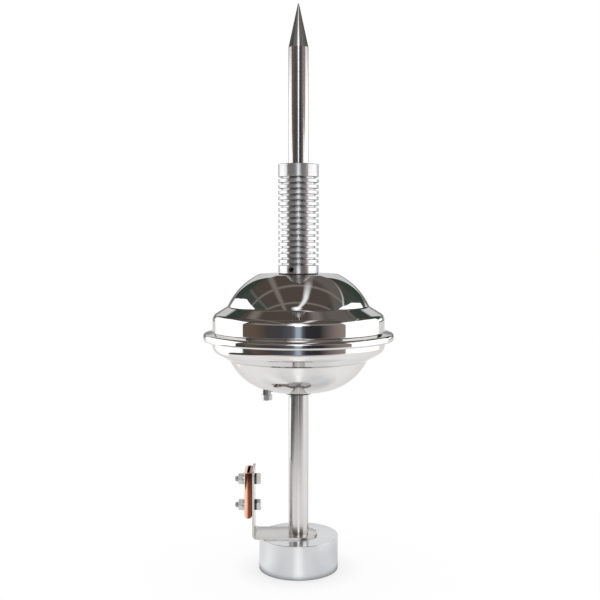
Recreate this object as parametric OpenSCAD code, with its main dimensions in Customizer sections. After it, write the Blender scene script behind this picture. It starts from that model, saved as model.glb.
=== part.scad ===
// Active lightning air terminal: a pointed rod on a finned sleeve, a charge body of two spun shells,
// a support rod, a mast coupling and a clamp for the down conductor. Millimetres, +Z up, the
// coupling's lower face on Z = 0 and the conductor clamp towards -X.

/* [Mast coupling] */
// Outside diameter of the mast coupling
base_d = 80; // [74:1:100]
// Height of the mast coupling
base_h = 34; // [33:1:50]
// Mean diameter of the 2 inch pipe thread that screws onto the mast
socket_d = 58; // [48:0.5:62]
// Depth of the mast socket
socket_depth = 17; // [12:0.5:20]
// Diameter of the pocket for the rod's lock nut
pocket_d = 36; // [32:0.5:40]
// Thickness of the coupling's top wall
base_wall = 7; // [6:0.5:10]
// Bevel on the coupling's upper edge
base_bevel = 1.2; // [0.5:0.1:2]

/* [Conductor bracket] */
// Thickness of the bracket's sheet
bracket_t = 2; // [1.5:0.1:3]
// Width of the bracket
bracket_w = 38; // [34:1:44]
// Distance from the axis to the upright's outer face
bracket_reach = 46.3; // [44:0.1:60]
// Height of the upright above the coupling
bracket_h = 69.4; // [66:0.2:90]
// Inside radius of the bend
bend_r = 2.5; // [2:0.1:4]
// Corner radius of the upright's top
bracket_corner = 5; // [2:0.5:9]

/* [Conductor clamp] */
// Thickness of the flattened copper saddle over both walls
saddle_t = 8; // [7:0.1:9]
// Depth of the saddle over both folds
saddle_w = 34; // [28:1:36]
// Height of the saddle
saddle_h = 46; // [42:0.5:52]
// Thickness of the copper sheet
copper_t = 2.7; // [2:0.1:3]
// Height of the saddle's middle above the coupling
saddle_mid = 43.9; // [38:0.1:52]
// Radius on the saddle's lower corners
saddle_corner = 3.2; // [1:0.1:3.5]
// Distance between the two clamp bolts
clamp_pitch = 26.7; // [24:0.1:30]

/* [Small fasteners] */
// Thread diameter of the clamp and terminal bolts
small_d = 6; // [5:0.5:6]
// Width across flats of their heads and nuts
small_af = 10; // [8:0.5:10.5]
// Height of a clamp bolt's head
head_h = 4; // [3:0.1:5]
// Height of a small nut
small_nut_h = 5; // [4:0.1:6]
// Diameter of a flat washer
washer_d = 12; // [10:0.5:14]
// Thickness of a flat washer
washer_t = 1.6; // [1:0.1:2]
// Diameter of a split spring washer
spring_d = 11; // [10:0.1:12]
// Thickness of a split spring washer
spring_t = 2; // [1.2:0.1:2.4]
// Length of a clamp bolt under its head
clamp_bolt_len = 22; // [21:1:30]

/* [Support rod] */
// Diameter of the support rod
rod_d = 20; // [18:0.5:24]
// Height of the rod's shoulder under the charge body
rod_top = 180.6; // [165:0.2:240]
// Thread diameter of the rod's foot
foot_d = 16; // [14:0.5:18]
// Thread diameter of the rod's upper spigot and the tip rod's spigot
spigot_d = 12; // [10:0.5:13]
// Length of spigot inside the finned sleeve
spigot_grip = 27; // [20:1:40]

/* [Charge body] */
// Thickness of the spun shells
shell_t = 1.2; // [1:0.1:1.5]
// Radius of the body over its rolled rim
rim_r = 95.6; // [93:0.2:104]
// Height of the rolled rim's nose above its underside
rim_nose = 7; // [6.6:0.1:8]
// Height of the rolled rim's upper edge above its underside
rim_rise = 9.1; // [8.4:0.1:11]
// Height of the upper shell's wall
dome_wall_h = 15.5; // [12:0.1:20]
// Fall of the upper shell's shoulder
dome_slope = 9.2; // [6:0.1:12]
// Height of the dome above its shoulder
crown_h = 32.4; // [28:0.2:38]
// How far the crown's corner lies below the flat top
crown_drop = 9.2; // [8:0.1:10.5]
// Height of the lower shell's wall under the rim
bowl_wall_h = 9.8; // [8.5:0.1:13]
// Fall of the lower shell's shoulder
bowl_slope = 9.6; // [8:0.1:12]
// Height of the bowl below its shoulder
bowl_depth = 32; // [29:0.2:38]

/* [Shell corner radii] */
// Edge of the dome's flat top
flat_edge_r = 6; // [4:0.5:8]
// Hollow corners at the feet of dome and bowl
foot_r = 2.2; // [1.5:0.1:4]
// Upper shell's shoulder
dome_shoulder_r = 7.5; // [4:0.1:8]
// Hollow corner between wall and rim
wall_foot_r = 1.3; // [1.3:0.1:2]
// Upper side of the rolled rim
rim_upper_r = 3.2; // [2.6:0.1:3.4]
// Lower side of the rolled rim
rim_lower_r = 3.8; // [3:0.1:3.9]
// Root of the lower shell's flange
flange_root_r = 1.2; // [0.8:0.1:1.5]
// Lower shell's shoulder
bowl_shoulder_r = 9; // [5:0.5:10]

/* [Insulators and seal] */
// Diameter of the insulator flange under the bowl
low_flange_d = 27; // [25:0.5:34]
// Thickness of the insulator flange under the bowl
low_flange_t = 1; // [0.8:0.1:2]
// Diameter of the insulator flange under the sleeve
top_flange_d = 39; // [34:0.5:40]
// Thickness of the insulator flange under the sleeve
top_flange_t = 0.6; // [0.6:0.1:2]
// Diameter of the insulators' necks through the shells
neck_d = 17; // [15.5:0.5:19]
// Diameter of the insulating washers inside the shells
inner_pad_d = 30; // [26:0.5:32]
// Thickness of the insulating washers inside the shells
inner_pad_t = 2; // [1.5:0.1:3]
// Section diameter of the seal ring inside the rolled rim
seal_d = 3.6; // [2.6:0.1:3.8]

/* [Pulse unit] */
// Diameter of the sealed pulse unit
unit_d = 96; // [80:1:104]
// Height of the sealed pulse unit
unit_h = 52; // [40:1:54]
// Thickness of the contact spring's strip
contact_t = 0.6; // [0.4:0.1:0.8]
// Width of the contact spring's strip
contact_w = 10; // [6:0.5:14]

/* [Test terminal] */
// Distance of the test terminal from the axis
term_x = 32.2; // [28:0.2:36]
// Height of the test terminal's hexagon
term_head_h = 5.6; // [4:0.1:6]
// Diameter of the test terminal's collar
term_collar_d = 9.6; // [8.5:0.1:10]
// Length of collar from the hexagon to the level of the bowl's foot
term_drop = 4.2; // [3:0.1:6]
// Thickness of the inner seat at its outer edge
term_seat_t = 1.4; // [1:0.1:2]
// Length of thread past the terminal's nut
term_end = 2; // [1:0.1:2.5]

/* [Finned sleeve] */
// Outside diameter of the sleeve
sleeve_d = 40; // [36:0.5:46]
// Number of grooves
groove_n = 16; // [8:1:18]
// Distance from groove to groove
groove_pitch = 5.68; // [4.5:0.01:7]
// Width of a groove
groove_w = 2.3; // [1.6:0.1:3.4]
// Depth of a groove
groove_depth = 3.3; // [2:0.1:4.5]
// Length of the plain collar at the top
collar_top = 12.5; // [8:0.1:20]
// Length of the plain collar at the bottom
collar_low = 7.95; // [6.5:0.05:12]
// Diameter of the set screw
set_d = 5; // [4:0.5:5.5]
// Length of the set screw
set_len = 9; // [6:0.5:10]
// Turn of the set screw from the front towards -X
set_turn = 21; // [0:1:60]

/* [Tip rod] */
// Diameter of the tip rod
tip_d = 20; // [16:0.5:24]
// Length of the tip rod's straight part above the sleeve
tip_straight = 114; // [80:1:240]
// Length of the tip rod's point
tip_cone = 43.1; // [25:0.1:60]
// Radius left on the point
tip_nose = 0.6; // [0.3:0.1:1.5]
// Length of the tip rod's spigot in the sleeve
tip_grip = 30; // [20:1:40]

/* [Hidden] */
$fa = 5;
$fs = 0.7;

// Radial play of fits and the smallest gap between faces that only lie along each other
play = 0.1;
bevel = 0.8;

// Levels up the axis
foot_z = base_h + bracket_t;
pocket_top = base_h - base_wall;
bowl_z = rod_top + low_flange_t;
bowl_foot_z = bowl_z + bowl_depth;
bowl_wall_z = bowl_foot_z + bowl_slope;
rim_z = bowl_wall_z + bowl_wall_h;
dome_wall_z = rim_z + rim_rise;
dome_shoulder_z = dome_wall_z + dome_wall_h;
dome_foot_z = dome_shoulder_z + dome_slope;
dome_z = dome_foot_z + crown_h;
sleeve_z = dome_z + top_flange_t;
sleeve_len = collar_low + (groove_n - 1) * groove_pitch + groove_w + collar_top;
sleeve_top = sleeve_z + sleeve_len;
cone_z = sleeve_top + tip_straight;
tip_z = cone_z + tip_cone;

// Large fasteners
foot_washer_d = 30;
foot_washer_t = 2;
foot_nut_af = 24;
foot_nut_h = 7.5;
spigot_washer_d = 24;
spigot_washer_t = 2.5;
spigot_nut_af = 18;
spigot_nut_h = 10.8;
thin_nut_h = 6;

// Levels of the stack inside the charge body
bowl_in = bowl_z + shell_t;
bowl_washer_z = bowl_in + inner_pad_t;
bowl_nut_z = bowl_washer_z + spigot_washer_t;
unit_z = bowl_nut_z + spigot_nut_h;
unit_top = unit_z + unit_h;
dome_in = dome_z - shell_t;
dome_washer_z = dome_in - inner_pad_t - spigot_washer_t;
dome_nut_z = dome_washer_z - spigot_nut_h;

// Levels and faces of the clamp
upright_out = -bracket_reach;
upright_in = upright_out + bracket_t;
saddle_out = upright_out - saddle_t;
clamp_z = base_h + saddle_mid;
clamp_levels = [clamp_z - clamp_pitch / 2, clamp_z + clamp_pitch / 2];
head_x = upright_in + spring_t;
nut_x = saddle_out - washer_t;
bolt_hole_d = small_d + 4 * play;

// Radial steps and large arcs of the shells, which grow with the body: how far the rim stands out
// from the wall, the widths of both shoulders, and the corners of crown, flat top and bowl
rim_out = rim_r * 0.0983;
dome_step = rim_r * 0.157;
bowl_step = rim_r * 0.1757;
crown_in = rim_r * 0.1589;
flat_in = rim_r * 0.1778;
bowl_tuck = rim_r * 0.2;
crown_r = rim_r * 0.5753;
bowl_r = rim_r * 0.5649;

// Radii of the shells' steps
dome_wall_r = rim_r - rim_out;
bowl_wall_r = dome_wall_r + play * 3;
dome_foot_r = dome_wall_r - dome_step;
bowl_foot_r = bowl_wall_r - bowl_step;
neck_hole_r = neck_d / 2 + play;
lip_r = bowl_wall_r + flange_root_r + 8 * play;

// Outlines of the spun shells as corners and corner radii, from the middle outwards on the dome
// and from the flange inwards on the bowl; the sheet lies to the right of the walking direction
dome_corners = [
    [neck_hole_r, dome_z],
    [dome_foot_r - crown_in - flat_in, dome_z],
    [dome_foot_r - crown_in, dome_z - crown_drop],
    [dome_foot_r, dome_foot_z],
    [dome_wall_r, dome_shoulder_z],
    [dome_wall_r, dome_wall_z],
    [rim_r, rim_z + rim_nose],
    [rim_r, rim_z],
    [lip_r, rim_z]
];
dome_radii = [0, flat_edge_r, crown_r, foot_r, dome_shoulder_r, wall_foot_r, rim_upper_r, rim_lower_r, 0];
flange_z = rim_z + shell_t + play;
bowl_corners = [
    [rim_r - rim_lower_r - 4 * play, flange_z],
    [bowl_wall_r, flange_z],
    [bowl_wall_r, bowl_wall_z],
    [bowl_foot_r, bowl_foot_z],
    [bowl_foot_r - bowl_tuck, bowl_z],
    [neck_hole_r, bowl_z]
];
bowl_radii = [0, flange_root_r, bowl_shoulder_r, foot_r, bowl_r, 0];

// Direction from one corner to the next, and the normal to its right
function along(a, b) = (b - a) / norm(b - a);
function right_of(a, b) = [along(a, b)[1], -along(a, b)[0]];

// Corner list moved to the right of its own walking direction
function moved(p, t) = [
    for (i = [0 : len(p) - 1])
        let (
            before = right_of(p[max(i - 1, 0)], p[max(i, 1)]),
            after = right_of(p[min(i, len(p) - 2)], p[min(i + 1, len(p) - 1)])
        )
        p[i] + t * (before + after) / (1 + before * after)
];

// Corner radii that keep the moved outline parallel: smaller on right turns, larger on left turns
function moved_radii(p, r, t) = [
    for (i = [0 : len(p) - 1])
        i == 0 || i == len(p) - 1
            ? 0
            : r[i] + t * sign(cross(along(p[i - 1], p[i]), along(p[i], p[i + 1])))
];

// Middle of the arc that rounds corner i
function arc_middle(p, r, i) =
    let (
        u = along(p[i], p[i - 1]),
        v = along(p[i], p[i + 1]),
        half = acos(u * v) / 2
    )
    p[i] + (u + v) / norm(u + v) * r[i] / sin(half);

// Points along the arc that rounds corner i
function arc_points(p, r, i) =
    let (
        m = arc_middle(p, r, i),
        a = right_of(p[i - 1], p[i]),
        b = right_of(p[i], p[i + 1]),
        side = -sign(cross(along(p[i - 1], p[i]), along(p[i], p[i + 1]))),
        steps = max(3, ceil(acos(a * b) / 6))
    )
    [
        for (k = [0 : steps])
            let (w = (1 - k / steps) * -a + k / steps * -b)
            m + side * r[i] * w / norm(w)
    ];

// Rounded outline of a corner list
function rounded(p, r) = [
    for (i = [0 : len(p) - 1])
        each (i == 0 || i == len(p) - 1) ? [p[i]] : arc_points(p, r, i)
];

function turned_back(p) = [for (i = [len(p) - 1 : -1 : 0]) p[i]];

// Closed section of a sheet of thickness t to the right of an outline
function sheet_section(p, r, t) =
    concat(rounded(p, r), turned_back(rounded(moved(p, t), moved_radii(p, r, t))));

// Height of the dome's inner face over its large arc at radius x
function dome_inside(x) =
    let (m = arc_middle(dome_corners, dome_radii, 2))
    m[1] + sqrt(pow(dome_radii[2] - shell_t, 2) - pow(x - m[0], 2));

// Height of the bowl's inner face over its large arc at radius x
function bowl_inside(x) =
    let (m = arc_middle(bowl_corners, bowl_radii, 4))
    m[1] - sqrt(pow(bowl_radii[4] - shell_t, 2) - pow(x - m[0], 2));

// Levels of the test terminal
term_z = bowl_z - term_drop;
term_seat_z = bowl_inside(term_x + washer_d / 2) + term_seat_t;
term_bolt_len = term_seat_z + small_nut_h + term_end - term_z;

module ring(d, hole, h) {
    difference() {
        cylinder(d = d, h = h);
        translate([0, 0, -1])
            cylinder(d = hole, h = h + 2);
    }
}

// Round bar with bevelled ends
module bevelled_bar(d, h, low, high) {
    rotate_extrude()
        polygon([[0, 0], [d / 2 - low, 0], [d / 2, low], [d / 2, h - high], [d / 2 - high, h], [0, h]]);
}

// Hexagon with its corners turned off at the ends that are asked for
module hexagon(af, h, low = true, high = true) {
    corner = af / sqrt(3);
    cut = (corner - af / 2) * 0.6;
    intersection() {
        cylinder(r = corner, h = h, $fn = 6);
        bevelled_bar(2 * corner + 0.01, h, low ? cut * 1.7 : 0, high ? cut * 1.7 : 0);
    }
}

module hex_nut(af, hole, h) {
    difference() {
        hexagon(af, h);
        translate([0, 0, -1])
            cylinder(d = hole, h = h + 2);
    }
}

// Places its children at each clamp bolt, with their axis towards -X from the given face
module at_clamp_bolts(face) {
    for (level = clamp_levels)
        translate([face, 0, level])
            rotate([0, -90, 0])
                children();
}

module base_coupling() {
    color([0.78, 0.79, 0.8])
        rotate_extrude()
            polygon([
                [socket_d / 2 + bevel, 0],
                [base_d / 2 - bevel, 0],
                [base_d / 2, bevel],
                [base_d / 2, base_h - base_bevel],
                [base_d / 2 - base_bevel, base_h],
                [foot_d / 2 + play, base_h],
                [foot_d / 2 + play, pocket_top],
                [pocket_d / 2, pocket_top],
                [pocket_d / 2, socket_depth],
                [socket_d / 2, socket_depth],
                [socket_d / 2, bevel]
            ]);
}

// Side view of the bent sheet: x outwards from the axis, y upwards
module bracket_side() {
    turn = bend_r + bracket_t;
    square_x = upright_out + turn;
    translate([square_x, 0])
        square([-square_x, bracket_t]);
    translate([upright_out, turn])
        square([bracket_t, bracket_h - turn]);
    intersection() {
        translate([upright_out, 0])
            square(turn);
        translate([square_x, turn])
            difference() {
                circle(r = turn);
                circle(r = bend_r);
            }
    }
}

module bracket_corners() {
    for (side = [-1, 1])
        translate([upright_out - 1, side * (bracket_w / 2 - bracket_corner), foot_z + bracket_h - bracket_t])
            translate([0, 0, -bracket_corner])
                rotate([90, 0, 90])
                    linear_extrude(bracket_t + 2)
                        difference() {
                            translate([side > 0 ? 0 : -bracket_corner - 1, 0])
                                square(bracket_corner + 1);
                            circle(r = bracket_corner);
                        }
}

module conductor_bracket() {
    color([0.66, 0.65, 0.63])
        difference() {
            union() {
                translate([0, bracket_w / 2, base_h])
                    rotate([90, 0, 0])
                        linear_extrude(bracket_w)
                            bracket_side();
                translate([0, 0, base_h])
                    cylinder(d = bracket_w, h = bracket_t);
            }
            translate([0, 0, base_h - 1])
                cylinder(d = foot_d + 4 * play, h = bracket_t + 2);
            at_clamp_bolts(upright_in + 1)
                cylinder(d = bolt_hole_d, h = bracket_t + 2);
            bracket_corners();
        }
}

// The rod's foot, its polished length and the spigot that carries the charge body
module support_rod() {
    foot_end = pocket_top - foot_washer_t - foot_nut_h;
    color([0.74, 0.74, 0.75])
        rotate_extrude()
            polygon([
                [0, foot_end],
                [foot_d / 2 - bevel, foot_end],
                [foot_d / 2, foot_end + bevel],
                [foot_d / 2, foot_z],
                [rod_d / 2, foot_z],
                [rod_d / 2, rod_top],
                [spigot_d / 2, rod_top],
                [spigot_d / 2, sleeve_z + spigot_grip - bevel],
                [spigot_d / 2 - bevel, sleeve_z + spigot_grip],
                [0, sleeve_z + spigot_grip]
            ]);
}

module rod_lock_washer() {
    color([0.66, 0.67, 0.68])
        translate([0, 0, pocket_top - foot_washer_t])
            ring(foot_washer_d, foot_d + 4 * play, foot_washer_t);
}

module rod_lock_nut() {
    color([0.66, 0.67, 0.68])
        translate([0, 0, pocket_top - foot_washer_t - foot_nut_h])
            hex_nut(foot_nut_af, foot_d + 2 * play, foot_nut_h);
}

// Plan of the flattened tube: a fold at the front and one at the back, the conductor's slot between
module saddle_plan() {
    fold = saddle_t / 2;
    gap = saddle_t - 2 * copper_t;
    flat = saddle_w - saddle_t;
    difference() {
        union() {
            translate([saddle_out, -flat / 2])
                square([saddle_t, flat]);
            for (y = [-flat / 2, flat / 2])
                translate([saddle_out + fold, y])
                    circle(r = fold);
        }
        translate([saddle_out + copper_t, -flat / 2])
            square([gap, flat]);
        for (y = [-flat / 2, flat / 2])
            translate([saddle_out + fold, y])
                circle(d = gap);
    }
}

// Front view of the saddle with its lower corners rounded
module saddle_front() {
    low = clamp_z - saddle_h / 2;
    translate([saddle_out, low + saddle_corner])
        square([saddle_t, saddle_h - saddle_corner]);
    translate([saddle_out + saddle_corner, low])
        square([saddle_t - 2 * saddle_corner, saddle_corner]);
    for (x = [saddle_out + saddle_corner, saddle_out + saddle_t - saddle_corner])
        translate([x, low + saddle_corner])
            circle(r = saddle_corner);
}

module copper_saddle() {
    color([0.85, 0.47, 0.32])
        difference() {
            intersection() {
                translate([0, 0, clamp_z - saddle_h / 2 - 1])
                    linear_extrude(saddle_h + 2)
                        saddle_plan();
                translate([0, saddle_w, 0])
                    rotate([90, 0, 0])
                        linear_extrude(2 * saddle_w)
                            saddle_front();
            }
            at_clamp_bolts(upright_out + 1)
                cylinder(d = bolt_hole_d, h = saddle_t + 2);
        }
}

module clamp_bolts() {
    color([0.7, 0.7, 0.71])
        at_clamp_bolts(head_x) {
            bevelled_bar(small_d, clamp_bolt_len, 0, bevel);
            mirror([0, 0, 1])
                hexagon(small_af, head_h, low = false);
        }
}

module clamp_nuts() {
    color([0.7, 0.7, 0.71])
        at_clamp_bolts(nut_x)
            rotate([0, 0, 30])
                hex_nut(small_af, small_d + 2 * play, small_nut_h);
}

module nut_washers() {
    color([0.7, 0.7, 0.71])
        at_clamp_bolts(saddle_out)
            ring(washer_d, bolt_hole_d, washer_t);
}

// Ring of square wire with its slanting cut
module spring_washers() {
    color([0.5, 0.5, 0.52])
        at_clamp_bolts(head_x)
            difference() {
                ring(spring_d, bolt_hole_d, spring_t);
                translate([0, spring_d / 2, spring_t / 2])
                    rotate([0, 30, 0])
                        cube([0.8, spring_d, 3 * spring_t], center = true);
            }
}

// Flange outside the shell and neck through it, the neck upwards
module flanged_insulator(flange_d, flange_t) {
    difference() {
        union() {
            cylinder(d = flange_d, h = flange_t);
            cylinder(d = neck_d, h = flange_t + shell_t - play);
        }
        translate([0, 0, -1])
            cylinder(d = spigot_d + 2 * play, h = flange_t + shell_t + 2);
    }
}

module lower_insulator() {
    color([0.08, 0.08, 0.09])
        translate([0, 0, rod_top])
            flanged_insulator(low_flange_d, low_flange_t);
}

module upper_insulator() {
    color([0.08, 0.08, 0.09])
        translate([0, 0, sleeve_z])
            mirror([0, 0, 1])
                flanged_insulator(top_flange_d, top_flange_t);
}

module lower_bowl() {
    color([0.76, 0.76, 0.77])
        difference() {
            rotate_extrude()
                polygon(sheet_section(bowl_corners, bowl_radii, shell_t));
            translate([-term_x, 0, bowl_z - 1])
                cylinder(d = bolt_hole_d, h = bowl_depth);
        }
}

module upper_dome() {
    color([0.74, 0.74, 0.76])
        rotate_extrude()
            polygon(sheet_section(dome_corners, dome_radii, shell_t));
}

// Ring pressed between the bowl's flange and the inside of the rolled rim
module rim_seal() {
    color([0.1, 0.1, 0.1])
        translate([0, 0, flange_z + shell_t + seal_d / 2 + play])
            rotate_extrude()
                translate([rim_r - shell_t - seal_d / 2 - 6 * play, 0])
                    circle(d = seal_d);
}

module bowl_pad() {
    color([0.1, 0.1, 0.11])
        translate([0, 0, bowl_in])
            ring(inner_pad_d, spigot_d + 2 * play, inner_pad_t);
}

module bowl_washer() {
    color([0.66, 0.67, 0.68])
        translate([0, 0, bowl_washer_z])
            ring(spigot_washer_d, spigot_d + 4 * play, spigot_washer_t);
}

module bowl_nut() {
    color([0.66, 0.67, 0.68])
        translate([0, 0, bowl_nut_z])
            hex_nut(spigot_nut_af, spigot_d + 2 * play, spigot_nut_h);
}

// Sealed block of resin with the pulse circuit, bored for the spigot
module pulse_unit() {
    color([0.2, 0.2, 0.22])
        translate([0, 0, unit_z])
            difference() {
                bevelled_bar(unit_d, unit_h, 2, 2);
                translate([0, 0, -1])
                    cylinder(d = spigot_d + 4 * play, h = unit_h + 2);
            }
}

module unit_nut() {
    color([0.66, 0.67, 0.68])
        translate([0, 0, unit_top])
            hex_nut(spigot_nut_af, spigot_d + 2 * play, thin_nut_h);
}

// Strip from the pulse unit's lid up to the inside of the dome
module contact_spring() {
    toe = unit_d / 2 - contact_w * 0.8;
    heel = toe - contact_w * 1.6;
    crown = toe + contact_w * 0.7;
    rise = dome_inside(crown) - unit_top - 2 * contact_t;
    strip = [[heel, 0], [toe, 0], [toe - contact_w * 0.6, rise * 0.6], [crown, rise]];
    color([0.8, 0.6, 0.35])
        translate([0, contact_w / 2, unit_top])
            rotate([90, 0, 0])
                linear_extrude(contact_w)
                    polygon(concat(strip, turned_back(moved(strip, -contact_t))));
}

module dome_pad() {
    color([0.1, 0.1, 0.11])
        translate([0, 0, dome_in - inner_pad_t])
            ring(inner_pad_d, spigot_d + 2 * play, inner_pad_t);
}

module dome_washer() {
    color([0.66, 0.67, 0.68])
        translate([0, 0, dome_washer_z])
            ring(spigot_washer_d, spigot_d + 4 * play, spigot_washer_t);
}

module dome_nut() {
    color([0.66, 0.67, 0.68])
        translate([0, 0, dome_nut_z])
            hex_nut(spigot_nut_af, spigot_d + 2 * play, spigot_nut_h);
}

// Sleeve outline with one step in and out for each groove, from the bottom up
function sleeve_outline() = concat(
    [[sleeve_d / 2 - 0.4, 0], [sleeve_d / 2, 0.4]],
    [
        for (i = [0 : groove_n - 1])
            let (z = collar_low + i * groove_pitch)
            each [
                [sleeve_d / 2, z],
                [sleeve_d / 2 - groove_depth, z],
                [sleeve_d / 2 - groove_depth, z + groove_w],
                [sleeve_d / 2, z + groove_w]
            ]
    ],
    [[sleeve_d / 2, sleeve_len - 0.6], [sleeve_d / 2 - 0.6, sleeve_len]]
);

// Places its children at the set screw, with their axis outwards from the sleeve's own
module at_set_screw() {
    translate([0, 0, sleeve_z + collar_low / 2])
        rotate([0, 0, 270 - set_turn])
            rotate([0, 90, 0])
                children();
}

module finned_sleeve() {
    color([0.8, 0.81, 0.82])
        difference() {
            translate([0, 0, sleeve_z])
                rotate_extrude()
                    polygon(concat(
                        [[spigot_d / 2 + play, 0]],
                        sleeve_outline(),
                        [[spigot_d / 2 + play, sleeve_len]]
                    ));
            at_set_screw()
                cylinder(d = set_d + 2 * play, h = sleeve_d);
        }
}

module set_screw() {
    socket = set_d / 2;
    color([0.2, 0.2, 0.21])
        at_set_screw()
            translate([0, 0, spigot_d / 2 + play])
                difference() {
                    bevelled_bar(set_d, set_len, bevel, 0.3);
                    translate([0, 0, set_len - socket])
                        cylinder(r = socket / sqrt(3), h = socket + 1, $fn = 6);
                }
}

module tip_rod() {
    color([0.74, 0.74, 0.75])
        rotate_extrude()
            polygon([
                [0, sleeve_top - tip_grip],
                [spigot_d / 2 - bevel, sleeve_top - tip_grip],
                [spigot_d / 2, sleeve_top - tip_grip + bevel],
                [spigot_d / 2, sleeve_top],
                [tip_d / 2, sleeve_top],
                [tip_d / 2, cone_z],
                [tip_nose, tip_z - tip_nose],
                [tip_nose / 2, tip_z - tip_nose / 4],
                [0, tip_z]
            ]);
}

// Round blank on the terminal's axis, cut to lie along the bowl with a gap beside the shell
module terminal_blank(d, low, high) {
    translate([-term_x, 0, low])
        ring(d, bolt_hole_d, high - low);
}

// The bowl's section thickened on both sides by the play, as a solid of revolution
module bowl_space(out, in) {
    corners = moved(bowl_corners, -out);
    radii = moved_radii(bowl_corners, bowl_radii, -out);
    rotate_extrude()
        polygon(sheet_section(corners, radii, out + in));
}

module terminal_bolt() {
    color([0.68, 0.68, 0.69])
        translate([-term_x, 0, term_z]) {
            bevelled_bar(small_d, term_bolt_len, 0, bevel);
            mirror([0, 0, 1])
                hexagon(small_af, term_head_h, low = true);
        }
}

module terminal_collar() {
    color([0.6, 0.6, 0.61])
        difference() {
            terminal_blank(term_collar_d, term_z, term_seat_z);
            bowl_space(play, bowl_depth / 4);
        }
}

// Seat inside the bowl whose upper face is square to the terminal's axis
module terminal_seat() {
    color([0.1, 0.1, 0.11])
        difference() {
            terminal_blank(washer_d, bowl_z, term_seat_z);
            bowl_space(bowl_depth / 4, shell_t + play);
        }
}

module terminal_nut() {
    color([0.66, 0.67, 0.68])
        translate([-term_x, 0, term_seat_z])
            hex_nut(small_af, small_d + 2 * play, small_nut_h);
}

base_coupling();
conductor_bracket();
support_rod();
rod_lock_washer();
rod_lock_nut();
copper_saddle();
clamp_bolts();
clamp_nuts();
nut_washers();
spring_washers();
lower_insulator();
lower_bowl();
bowl_pad();
bowl_washer();
bowl_nut();
pulse_unit();
unit_nut();
contact_spring();
rim_seal();
upper_dome();
dome_pad();
dome_washer();
dome_nut();
upper_insulator();
finned_sleeve();
set_screw();
tip_rod();
terminal_bolt();
terminal_collar();
terminal_seat();
terminal_nut();
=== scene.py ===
"""Looks of a lightning air terminal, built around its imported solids.

Turned, spun and folded pieces are computed as numpy grids: a rounded outline turned about the axis, or an outline
carried along a path. Everything is in metres in the frame of the solids, with the coupling's lower face on z = 0.
"""

import logging
import math
from dataclasses import dataclass
from enum import Enum
from typing import Dict, List, Optional, Sequence, Tuple

import bpy
import numpy as np
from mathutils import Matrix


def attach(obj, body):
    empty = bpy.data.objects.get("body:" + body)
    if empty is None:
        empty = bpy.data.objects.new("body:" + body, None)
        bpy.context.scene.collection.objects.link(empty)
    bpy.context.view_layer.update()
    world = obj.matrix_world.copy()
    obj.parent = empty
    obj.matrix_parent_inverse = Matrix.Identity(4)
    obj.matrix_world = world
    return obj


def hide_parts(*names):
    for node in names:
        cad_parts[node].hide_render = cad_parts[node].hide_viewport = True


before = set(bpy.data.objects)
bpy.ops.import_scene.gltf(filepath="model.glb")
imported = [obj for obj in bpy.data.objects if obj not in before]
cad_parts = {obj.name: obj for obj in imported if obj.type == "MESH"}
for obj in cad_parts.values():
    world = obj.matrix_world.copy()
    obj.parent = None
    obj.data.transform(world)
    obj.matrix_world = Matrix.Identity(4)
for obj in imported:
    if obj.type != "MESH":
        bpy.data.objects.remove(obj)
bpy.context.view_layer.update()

Array = np.ndarray
Pair = Tuple[float, float]
Colour = Tuple[float, float, float]
Table = Sequence[Tuple[float, Colour]]
Line = Tuple[List[Pair], List[float]]
Socket = bpy.types.NodeSocket
MM = 0.001
MICRON = 0.000001
CREASE = math.radians(40.0)
ROWS_PER_V = 20.0
HEX_SEGMENTS = 72
CHAMFER = math.radians(30.0)
Z_UP, X_SIDE = (0.0, 0.0, 1.0), (1.0, 0.0, 0.0)
LOG = logging.getLogger("air_terminal")


class Edge(Enum):
    """How the two ends of an outline are treated when it is turned about the axis."""

    LOOP = "the outline closes on itself, as the section of a ring does"
    AXIS = "the outline starts and ends on the axis, as the section of a bar does"


@dataclass
class Outline:
    """Line in the plane of radius and height, with the outward normal at each point.

    Attributes:
        points: radius and height in millimetres, one row a point.
        normals: unit normals, one row a point.
        edge: how the line ends.
    """

    points: Array
    normals: Array
    edge: Edge


def rounded_outline(corners: Sequence[Pair], radii: Sequence[float], edge: Edge, turn: float = 4.0) -> Outline:
    """Rounds each corner of a polygon by an arc that touches both of its sides.

    The arc's middle lies on the corner's bisector at radius / sin(half angle), and its ends lie on the two sides at
    radius / tan(half angle) from the corner. The polygon runs counter-clockwise, so that outside is on the right.

    Args:
        corners: radius and height of each corner, in millimetres.
        radii: arc radius at each corner; the ends of an AXIS outline take none.
        edge: how the outline ends.
        turn: largest angle between two neighbouring points of an arc, in degrees.

    Returns:
        The rounded outline.
    """
    pts = np.asarray(corners, float)
    count = len(pts)
    points: List[Array] = []
    normals: List[Array] = []
    for i in range(count):
        if edge is Edge.AXIS and i in (0, count - 1):
            points.append(pts[i][None])
            normals.append(np.array([[0.0, -1.0 if i == 0 else 1.0]]))
            continue
        here, before, after = pts[i], pts[i - 1], pts[(i + 1) % count]
        a = (here - before) / np.linalg.norm(here - before)
        b = (after - here) / np.linalg.norm(after - here)
        side = math.copysign(1.0, a[0] * b[1] - a[1] * b[0])
        bend = math.acos(float(np.clip(a @ b, -1.0, 1.0)))
        half = (math.pi - bend) / 2
        middle = here + (b - a) / np.linalg.norm(b - a) * radii[i] / math.sin(half)
        steps = max(3, math.ceil(math.degrees(bend) / turn))
        angle = math.atan2(-a[0], a[1]) + side * np.linspace(0.0, bend, steps + 1)
        facing = np.stack([np.cos(angle), np.sin(angle)], axis=1)
        points.append(middle + side * radii[i] * facing)
        normals.append(facing)
    return Outline(np.concatenate(points), np.concatenate(normals), edge)


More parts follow.
